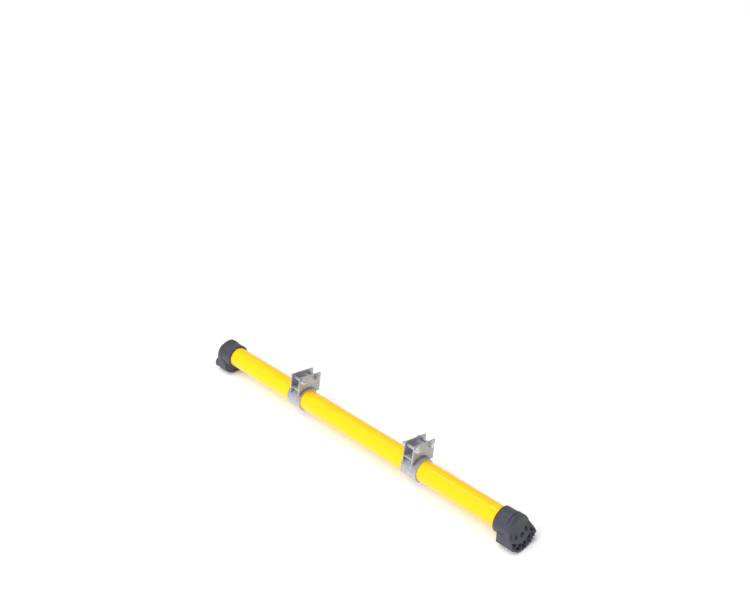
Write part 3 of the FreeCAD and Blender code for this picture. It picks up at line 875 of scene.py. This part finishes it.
# ---------------- welds
@dataclass
class WeldBead:
    """A run of weld laid as overlapping ripples.

    The run follows a path; at each station the bead's section is a low hump whose
    back lies in the corner between two plates.
    """

    seed: int
    leg: float = 3.3
    ripple: float = 2.3
    step: float = 0.55

    def section(self, swell: float) -> list[tuple[float, float]]:
        """The bead's section as (out, up) pairs, from one plate round to the other."""
        leg = self.leg * swell
        hump = [(leg * math.cos(turn) ** 0.8, leg * math.sin(turn) ** 0.8)
                for turn in (math.radians(90.0 * index / 10) for index in range(11))]
        fullness = [0.93 + 0.14 * math.sin(2.0 * math.atan2(up, out + 1e-6)) for out, up in hump]
        pulled = [(out * full, up * full) for (out, up), full in zip(hump, fullness)]
        return pulled + [(-0.4, leg * 0.8), (-0.5, -0.5), (leg * 0.8, -0.4)]

    def swells(self, length: float) -> list[tuple[float, float]]:
        """Places along a run with the bead's relative size at each.

        Args:
            length: the run's length.

        Returns:
            Pairs of place and size.
        """
        luck = random.Random(self.seed)
        count = max(8, round(length / self.step))
        lumps = [luck.uniform(0.90, 1.08) for _ in range(int(length / self.ripple) + 3)]
        pairs = []
        for index in range(count + 1):
            place = length * index / count
            turn = place / self.ripple
            lump = lumps[int(turn)] + (lumps[int(turn) + 1] - lumps[int(turn)]) * (turn % 1.0)
            tail = min(1.0, 0.45 + place / 2.5, 0.45 + (length - place) / 2.5)
            pairs.append((place, lump * tail * (0.90 + 0.15 * (turn % 1.0) ** 0.7)))
        return pairs

    def arc(self, radius: float, half_angle: float, plane: float, direction: float) -> bmesh.types.BMesh:
        """A bead round part of the sleeve, against a cheek's face.

        Args:
            radius: the sleeve's outside radius.
            half_angle: how far the run goes each way from the top, in degrees.
            plane: the cheek's face, along X.
            direction: +1 or -1, the way the bead stands out from that face.

        Returns:
            The bead, about the bar's axis and not yet leaned.
        """
        whole = math.radians(half_angle) * 2.0
        rings = []
        for place, swell in self.swells(whole * radius):
            angle = place / radius - whole / 2.0
            rings.append([
                (plane + direction * out, (radius + up) * math.sin(angle), (radius + up) * math.cos(angle))
                for out, up in self.section(swell)
            ])
        return stack_rings(rings)

    def straight(
        self, start: float, end: float, corner: tuple[float, float], away: float
    ) -> bmesh.types.BMesh:
        """A bead along X in a corner under the seat plate.

        Args:
            start: where the run begins along X.
            end: where it ends.
            corner: the corner's depth and rise.
            away: +1 or -1, the way the bead faces in depth.

        Returns:
            The bead, not yet leaned.
        """
        rings = []
        for place, swell in self.swells(abs(end - start)):
            along = start + math.copysign(place, end - start)
            rings.append([(along, corner[0] + away * out, corner[1] - up) for out, up in self.section(swell)])
        return stack_rings(rings)


# ---------------- fasteners
def hexagon_radius(across: float, angle: float) -> float:
    """A hexagon's radius at an angle from the middle of one flat."""
    inside = (angle + math.pi / 6.0) % (math.pi / 3.0) - math.pi / 6.0
    return across / 2.0 / math.cos(inside)


@dataclass
class Turning:
    """Round and hexagonal work on an axis: loops given as (along, radius) pairs."""

    points: int = 72
    trim: float = 0.985

    def round_loop(self, along: float, radius: float) -> Ring:
        """A circle at a place along the axis."""
        return [(along, radius * math.sin(a), radius * math.cos(a)) for a in self.angles()]

    def hexagon_loop(self, along: float, across: float, bevel: float = 0.0, toward: float = 1.0) -> Ring:
        """A hexagon whose corners drop back as a 30 degree cone cuts them.

        Args:
            along: the place along the axis.
            across: the size across the flats.
            bevel: how much of the cone to follow, from 0 to 1.
            toward: the way the end faces along the axis.

        Returns:
            The loop.
        """
        ring = []
        for angle in self.angles():
            radius = min(hexagon_radius(across, angle), across / math.sqrt(3.0) * self.trim)
            drop = (radius - across / 2.0 * self.trim) * math.tan(math.radians(30.0)) * bevel
            ring.append((along - toward * drop, radius * math.sin(angle), radius * math.cos(angle)))
        return ring

    def profile(self, start: float, out: float, steps: Sequence[tuple[float, float]]) -> list[Ring]:
        """Circles at places measured from a start.

        Args:
            start: the place that the steps are measured from.
            out: +1 or -1, the way they run along the axis.
            steps: pairs of place and radius.

        Returns:
            The loops, in the steps' order.
        """
        return [self.round_loop(start + out * along, radius) for along, radius in steps]

    def angles(self) -> list[float]:
        """The angles of a loop's points."""
        return [2.0 * math.pi * index / self.points for index in range(self.points)]

    def thread(self, start: float, end: float, root: float, crest: float, pitch: float) -> bmesh.types.BMesh:
        """A helical thread.

        Args:
            start: where it begins along the axis.
            end: where it ends.
            root: the radius at the bottom of the thread.
            crest: the radius at its top.
            pitch: the advance in one turn.

        Returns:
            The ridge as a closed mesh.
        """
        span = end - start
        turns = abs(span) / pitch
        count = round(turns * 36)
        rings = []
        for index in range(count + 1):
            share = index / count
            angle, along = share * turns * 2.0 * math.pi, start + span * share
            tall = root + (crest - root) * min(1.0, share * turns * 4.0, (1.0 - share) * turns * 4.0)
            half = pitch * 0.44
            profile = ((-half, root - 0.15), (-0.09, tall), (0.09, tall), (half, root - 0.15))
            upright = (math.sin(angle), math.cos(angle))
            rings.append([(along + shift, *(radius * part for part in upright)) for shift, radius in profile])
        return stack_rings(rings)


@dataclass
class StileBolt:
    """Flanged hexagon bolt, washer, locking nut and its nylon ring."""

    side: Side
    edge: StileEdge
    across: float = 13.0
    head: float = 6.5
    flange_radius: float = 9.0
    shank_radius: float = 4.0
    root_radius: float = 3.4
    plain_length: float = 27.0
    pitch: float = 1.25
    nut_height: float = 6.2
    collar_radius: float = 5.9
    insert_radius: float = 5.2
    washer_edge: float = 0.35
    tool: Turning = field(default_factory=Turning)

    def node(self, part: str) -> str:
        """The name of one of the fastener's nodes."""
        return f"{self.side.word}_{self.edge.value}_{part}"

    def ends(self, part: str, out: float) -> tuple[float, float]:
        """A node's first and last place along X in millimetres, in the order that out gives."""
        low, high = (corner[0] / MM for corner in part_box(self.node(part)))
        return (low, high) if out > 0 else (high, low)

    def axis_shift(self) -> Point:
        """Where the bolt's axis lies."""
        low, high = (Vector(corner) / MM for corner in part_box(self.node("washer")))
        return (0.0, (low.y + high.y) / 2.0, (low.z + high.z) / 2.0)

    def build(self, book: FinishBook) -> None:
        """Make the fastener's pieces."""
        self.build_bolt(book)
        self.build_nut(book)
        washer = self.node("washer")
        hand_over(soften(washer, self.washer_edge), washer, "disc", book, "plated_steel")
        book.dress_node(self.node("nut_insert"), "insert_nylon")

    def build_bolt(self, book: FinishBook) -> None:
        """Head with a dished flange, plain shank, threaded tail."""
        out = float(self.side.value)
        tip, top = self.ends("bolt", out)
        seat = top - out * self.head
        tool, across = self.tool, self.across
        thread_start = seat - out * self.plain_length
        flat = across / 2.0
        root, shank, flange, head = self.root_radius, self.shank_radius, self.flange_radius, self.head
        rings = [
            *tool.profile(tip, out, ((0.0, root - 1.0), (0.0, root - 0.55), (0.55, root))),
            *tool.profile(thread_start, out, ((0.0, root), (0.7, shank - 0.02))),
            *tool.profile(seat, out, (
                (-0.2, shank - 0.02), (0.0, shank + 0.3), (0.0, flange - 0.35), (0.12, flange - 0.08),
                (0.35, flange), (0.85, flange), (1.15, flange - 0.2), (1.75, flat + 1.15),
            )),
            tool.hexagon_loop(seat + out * 2.0, across + 0.12),
            tool.hexagon_loop(seat + out * 2.3, across),
            tool.hexagon_loop(seat + out * (head - 0.25), across, 1.0, out),
            tool.hexagon_loop(seat + out * (head - 0.06), across - 0.3, 1.0, out),
            *tool.profile(seat, out, (
                (head, flat * 0.93), (head, flat * 0.72),
                (head - 0.45, flat * 0.60), (head - 0.5, flat * 0.1),
            )),
        ]
        body = stack_rings(rings)
        ridge = tool.thread(tip + out * 0.4, thread_start + out * 0.3, root, shank - 0.03, self.pitch)
        mesh = turned(join([body, ridge]), self.head_turn(), self.axis_shift())
        hand_over(mesh, self.node("bolt"), "forging", book, "plated_steel")

    def head_turn(self) -> float:
        """How far this hexagon is turned; no two are alike."""
        turns = {"left_front": 8.0, "left_rear": 21.0, "right_front": 13.0, "right_rear": 27.0}
        return math.radians(turns[f"{self.side.word}_{self.edge.value}"])

    def build_nut(self, book: FinishBook) -> None:
        """Hexagon chamfered at both ends, with a rolled collar over the nylon ring."""
        out = -float(self.side.value)
        seat, top = self.ends("nut", out)
        tool, across = self.tool, self.across
        hexagon_end = seat + out * self.nut_height
        bore = self.shank_radius + 0.02
        collar, insert = self.collar_radius, self.insert_radius
        rings = [
            *tool.profile(seat, out, ((0.5, bore), (0.0, bore + 0.5), (0.0, across / 2.0 * 0.93))),
            tool.hexagon_loop(seat + out * 0.05, across - 0.3, 1.0, -out),
            tool.hexagon_loop(seat + out * 0.25, across, 1.0, -out),
            tool.hexagon_loop(hexagon_end - out * 0.25, across, 1.0, out),
            tool.hexagon_loop(hexagon_end - out * 0.05, across - 0.3, 1.0, out),
            *tool.profile(hexagon_end, out, ((0.0, collar + 0.25), (0.25, collar))),
            *tool.profile(top, out, (
                (-0.8, collar), (-0.2, collar - 0.3), (0.0, collar - 0.65),
                (-0.15, insert), (-1.5, insert), (-1.5, bore),
            )),
        ]
        loop = stack_rings(rings + [rings[0]], closed=(False, False))
        bmesh.ops.remove_doubles(loop, verts=loop.verts, dist=0.0005)
        bmesh.ops.recalc_face_normals(loop, faces=loop.faces)
        mesh = turned(loop, self.head_turn() * 1.7, self.axis_shift())
        hand_over(mesh, self.node("nut"), "forging", book, "plated_steel")


# ---------------- welded bracket
@dataclass
class Bracket:
    """One welded bracket: sleeve, two cheeks, seat plate, beads and fasteners."""

    side: Side
    plate_edge: float = 0.55
    screw_edge: float = 0.3
    sleeve_radius: float = 31.15
    outer_plane: float = 224.25
    inner_plane: float = 191.25
    outer_face: float = 221.25
    inner_face: float = 194.25
    arch_angle: float = 57.0
    seat_bead_depth: float = 9.2
    seat_bead_leg: float = 4.0

    def build(self, book: FinishBook) -> None:
        """Make the bracket's pieces."""
        for part in ("outer_cheek", "inner_cheek", "seat_plate", "sleeve"):
            node = f"{self.side.word}_{part}"
            hand_over(soften(node, self.plate_edge), node, "plate", book, "galvanised_steel")
        self.build_welds(book)
        for edge in StileEdge:
            StileBolt(self.side, edge).build(book)
        screw = f"{self.side.word}_sleeve_screw"
        hand_over(soften(screw, self.screw_edge), screw, "forging", book, "plated_steel")

    def build_welds(self, book: FinishBook) -> None:
        """Lay the two arched beads and the pair under the seat."""
        out = self.side.value
        seed = 11 if self.side is Side.LEFT else 29
        radius, half = self.sleeve_radius, self.arch_angle
        beads = {
            "outer_arch_weld": [WeldBead(seed).arc(radius, half, out * self.outer_plane, out)],
            "inner_arch_weld": [WeldBead(seed + 1).arc(radius, half, out * self.inner_plane, -out)],
            "seat_welds": [
                WeldBead(seed + 2 + index, leg=self.seat_bead_leg).straight(
                    out * self.inner_face, out * self.outer_face,
                    (away * self.seat_bead_depth, radius), away)
                for index, away in enumerate((-1.0, 1.0))
            ],
        }
        for part, meshes in beads.items():
            mesh = turned(join(meshes), -LEAN)
            hand_over(mesh, f"{self.side.word}_{part}", "bead", book, "weld_zinc", crease=50.0)


# ---------------- the studio
@dataclass
class Studio:
    """Pale floor, soft lights and the camera."""

    camera_place: Point = (1.790797, -1.460428, 1.884017)
    camera_forward: Point = (-0.63199883, 0.55106305, -0.54489173)
    camera_up: Point = (-0.34856722, 0.42584604, 0.83495871)
    lens: float = 56.2985
    sensor: float = 36.0
    floor_half: float = 12.0
    floor_tone: float = 0.96
    key_power: float = 2.05
    key_spread: float = math.radians(60.0)
    key_travel: Point = (0.7, 1.6, -2.4)
    strip_power: float = 15.0
    card_power: float = 27.0
    surround: float = 0.52

    def build(self, floor_level: float) -> None:
        """Make the floor, the lights, the world and the camera."""
        self.build_floor(floor_level)
        self.build_lights()
        self.build_camera()

    def build_floor(self, level: float) -> None:
        """A wide pale floor at the soles' lowest point."""
        mesh = bmesh.new()
        bmesh.ops.create_grid(mesh, x_segments=1, y_segments=1, size=self.floor_half)
        bmesh.ops.translate(mesh, vec=(0.0, 0.0, level), verts=mesh.verts)
        data = bpy.data.meshes.new("floor")
        mesh.to_mesh(data)
        mesh.free()
        floor = stand("floor", data)
        material = bpy.data.materials.new("floor_paint")
        material.use_nodes = True
        shader = material.node_tree.nodes["Principled BSDF"]
        shader.inputs["Base Color"].default_value = (self.floor_tone,) * 3 + (1.0,)
        shader.inputs["Roughness"].default_value = 0.85
        shader.inputs["Specular IOR Level"].default_value = 0.15
        data.materials.append(material)
        floor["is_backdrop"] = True

    def build_lights(self) -> None:
        """A broad soft key from the front left, a long strip overhead, an even surround."""
        sun = bpy.data.lights.new("key", "SUN")
        sun.energy, sun.angle = self.key_power, self.key_spread
        key = stand("key", sun)
        key.rotation_euler = Vector(self.key_travel).to_track_quat("-Z", "Y").to_euler()
        key.visible_glossy = False
        self.area("strip", (0.0, 0.15, 2.2), (3.2, 0.20), self.strip_power)
        self.area("card", (-0.4, -2.6, 0.9), (2.4, 0.7), self.card_power).visible_glossy = False
        world = bpy.data.worlds.new("studio")
        world.use_nodes = True
        background = world.node_tree.nodes["Background"]
        background.inputs["Color"].default_value = (1.0, 1.0, 1.0, 1.0)
        background.inputs["Strength"].default_value = self.surround
        bpy.context.scene.world = world
        bpy.context.scene.view_settings.view_transform = "Standard"

    def area(self, name: str, place: Point, size: tuple[float, float], power: float) -> bpy.types.Object:
        """Add a rectangular light that looks at the bar's middle."""
        data = bpy.data.lights.new(name, "AREA")
        data.shape = "RECTANGLE"
        data.size, data.size_y = size
        data.energy = power
        light = stand(name, data)
        light.location = place
        light.rotation_euler = (-Vector(place)).to_track_quat("-Z", "Y").to_euler()
        return light

    def build_camera(self) -> None:
        """Stand the camera where the object is looked at from."""
        data = bpy.data.cameras.new("camera")
        data.lens, data.sensor_width = self.lens, self.sensor
        camera = stand("camera", data)
        back, up = -Vector(self.camera_forward), Vector(self.camera_up)
        right = up.cross(back).normalized()
        turn = Matrix((right, back.cross(right), back)).transposed().to_4x4()
        camera.matrix_world = Matrix.Translation(self.camera_place) @ turn
        bpy.context.scene.camera = camera


def main() -> None:
    """Build every piece around the frame."""
    logging.basicConfig(level=logging.INFO, format="%(message)s")
    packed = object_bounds()
    book = FinishBook()
    book.dress_node("bar_tube", "yellow_tube")
    for side in Side:
        Boot(side).build(book)
        Bracket(side).build(book)
    Studio().build(packed[0].z)


if __name__ == "__main__":
    main()
